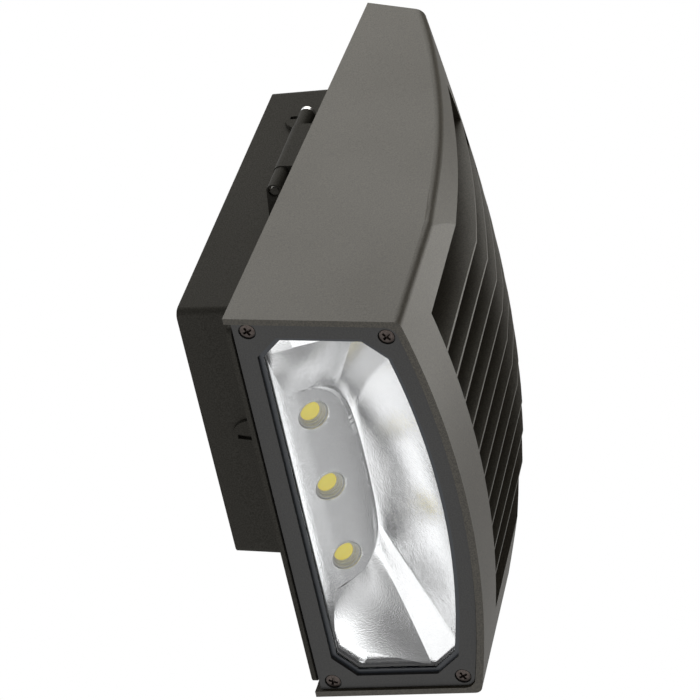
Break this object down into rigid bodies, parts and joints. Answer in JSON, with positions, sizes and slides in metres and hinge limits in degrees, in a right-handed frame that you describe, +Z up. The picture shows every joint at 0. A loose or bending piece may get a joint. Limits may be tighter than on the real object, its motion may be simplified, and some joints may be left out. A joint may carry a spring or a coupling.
{
  "type": "wall pack light",
  "caption": "Outdoor wall light: finned bowed die casting with a glazed, downward-facing light opening, hinged to a shallow wall box.",
  "frame": {"origin": "middle of the wall box's back face, on the wall plane, at the supply hole", "axes": "+Z up, +Y into the wall, X across the width, the lamp faces -Y and lights downward"},
  "size_m": [0.235, 0.1517, 0.2956],
  "materials": {
    "bronze_coat": "fine textured dark bronze powder coat",
    "bronze_smooth": "smooth dark bronze powder coat",
    "seal_black": "matt black silicone",
    "seal_slate": "dark slate silicone",
    "bright_steel": "bright plated steel",
    "bronze_screw": "reddish dark bronze coated screw",
    "zinc_steel": "zinc plated steel",
    "ground_green": "green coated grounding screw",
    "reflector_bright": "bright anodised sheet",
    "clear_glass": "clear tempered glass",
    "phosphor": "yellow phosphor gel",
    "module_white": "white ceramic substrate",
    "board_white": "white coated metal-core board",
    "pad_grey": "grey thermal pad",
    "driver_case": "plain sheet case",
    "bush_black": "black rubber"
  },
  "bodies": {
    "wall_box": {"back_box": "bronze_smooth", "wall_gasket": "seal_black", "box_gasket": "seal_black", "conduit_plugs": "bronze_smooth", "ground_screw": "ground_green", "hinge_pin": "bright_steel", "pin_clip": "zinc_steel"},
    "lamp_head": {"housing": "bronze_coat", "rear_cover": "bronze_smooth", "rear_gasket": "seal_black", "cover_screws": "zinc_steel", "lens_door": "bronze_smooth", "door_gasket": "seal_black", "door_screws": "bronze_screw", "lens_glass": "clear_glass", "glass_gasket": "seal_slate", "reflector": "reflector_bright", "reflector_screws": "bright_steel", "led_discs": "phosphor", "led_modules": "module_white", "led_board": "board_white", "thermal_pad": "pad_grey", "board_screws": "zinc_steel", "driver": "driver_case", "driver_screws": "zinc_steel", "wire_bushing": "bush_black"},
    "closure": {"closure_screw": "zinc_steel", "closure_ring": "zinc_steel"}
  },
  "joints": [
    {"name": "housing_hinge", "type": "hinge", "parent": "wall_box", "child": "lamp_head", "pos_m": [-0.092, -0.0339, 0], "axis": [0, 0, -1], "range_deg": [0, 92]},
    {"name": "closure_slide", "type": "slide", "parent": "lamp_head", "child": "closure", "axis": [-1, 0, 0], "range_m": [0, 0.0075]}
  ]
}
